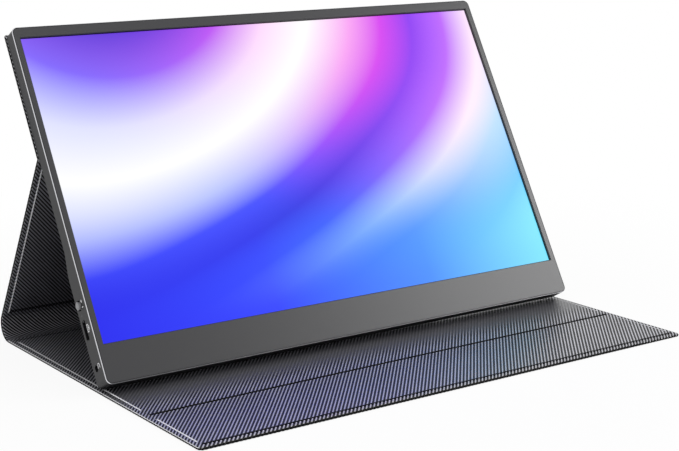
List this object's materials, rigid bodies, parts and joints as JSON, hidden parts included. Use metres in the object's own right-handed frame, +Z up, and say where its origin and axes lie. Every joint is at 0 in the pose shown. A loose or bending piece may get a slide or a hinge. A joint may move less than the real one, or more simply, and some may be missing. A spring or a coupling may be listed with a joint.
{
  "type": "portable monitor",
  "caption": "Slim lit screen with a deep chin, propped up by a folding folio that forms leg and base, with side sockets and a jog button.",
  "frame": {"origin": "on the table under the middle of the object, on the base's underside", "axes": "+X along the screen to the viewer's right, +Y away from the viewer, +Z up"},
  "size_m": [0.3551, 0.258, 0.2037],
  "materials": {
    "cover_metal": "satin anodised, dark grey",
    "bezel_plastic": "fine moulded texture",
    "screen_glass": "anti-glare, lit",
    "film": "diffusing film",
    "acrylic": "clear acrylic",
    "tray_steel": "plated sheet",
    "circuit_board": "solder mask",
    "chip_black": "moulded epoxy",
    "ribbon": "polyimide film",
    "tape": "adhesive tape",
    "foam": "closed cell foam",
    "socket_steel": "plated shell",
    "black_plastic": "moulded",
    "jog_plastic": "moulded, satin",
    "screw_steel": "zinc plated",
    "magnet": "nickel plated",
    "folio_skin": "coated cloth, twill embossed",
    "folio_lining": "coated cloth, twill embossed",
    "folio_board": "stiffener sheet",
    "lead": "insulated wire"
  },
  "bodies": {
    "base": {"base_skin": "folio_skin", "base_board": "folio_board", "base_lining": "folio_lining", "crease_strip": "folio_lining"},
    "front_flap": {"flap_skin": "folio_skin", "flap_board": "folio_board", "flap_lining": "folio_lining", "flap_magnets": "magnet"},
    "spine": {"spine_skin": "folio_skin", "spine_core": "foam", "spine_lining": "folio_lining"},
    "leg": {"leg_skin": "folio_skin", "leg_board": "folio_board", "leg_lining": "folio_lining", "prop_fold_strip": "folio_lining"},
    "jog_plunger": {"jog_plunger": "black_plastic"},
    "jog_stick": {"jog_stem": "black_plastic", "jog_cap": "jog_plastic"},
    "display": {"rear_cover": "cover_metal", "front_bezel": "bezel_plastic", "bezel_tape": "tape", "lcd_panel": "screen_glass", "optical_films": "film", "light_guide": "acrylic", "reflector_film": "film", "led_bar": "circuit_board", "panel_tray": "tray_steel", "panel_driver_board": "circuit_board", "panel_ribbon": "ribbon", "foam_pads": "foam", "keeper_plates": "tray_steel", "main_board": "circuit_board", "main_board_chips": "chip_black", "shield_can": "tray_steel", "mini_hdmi_socket": "socket_steel", "headphone_jack": "black_plastic", "usb_board": "circuit_board", "usb_board_chips": "chip_black", "usb_c_sockets": "socket_steel", "board_link_ribbon": "ribbon", "jog_switch_housing": "black_plastic", "status_light_pipe": "acrylic", "left_speaker": "black_plastic", "right_speaker": "black_plastic", "speaker_diaphragms": "film", "left_speaker_lead": "lead", "right_speaker_lead": "lead", "board_screws": "screw_steel", "cover_screws": "screw_steel", "back_panel_skin": "folio_skin", "back_panel_board": "folio_board", "back_panel_lining": "folio_lining", "back_panel_magnets": "magnet"}
  },
  "joints": [
    {"name": "spine_lower_fold", "type": "hinge", "parent": "base", "child": "spine", "pos_m": [0, 0.12384, 0.0012], "axis": [-1, 0, 0], "range_deg": [0, 60.33]},
    {"name": "spine_upper_fold", "type": "hinge", "parent": "spine", "child": "leg", "pos_m": [0, 0.12932, 0.01109], "axis": [-1, 0, 0], "range_deg": [0, 60.33]},
    {"name": "prop_fold", "type": "hinge", "parent": "leg", "child": "display", "pos_m": [0, 0.05643, 0.12774], "axis": [1, 0, 0], "range_deg": [0, 58]},
    {"name": "front_flap_fold", "type": "hinge", "parent": "base", "child": "front_flap", "pos_m": [0, -0.06678, 0.0012], "axis": [-1, 0, 0], "range_deg": [0, 80]},
    {"name": "jog_press", "type": "slide", "parent": "display", "child": "jog_plunger", "axis": [1, 0, 0], "range_m": [0, 0.0004], "stiffness_N_per_m": 400},
    {"name": "jog_rock", "type": "hinge", "parent": "jog_plunger", "child": "jog_stick", "pos_m": [-0.1702, 0.0094, 0.04796], "axis": [0, -0.8704, 0.4924], "range_deg": [-5, 5], "stiffness_Nm_per_rad": 0.02}
  ],
  "couplings": [
    {"joint": "spine_upper_fold", "follows": "spine_lower_fold", "ratio": 1},
    {"joint": "prop_fold", "follows": "spine_lower_fold", "ratio": 0.96135}
  ]
}
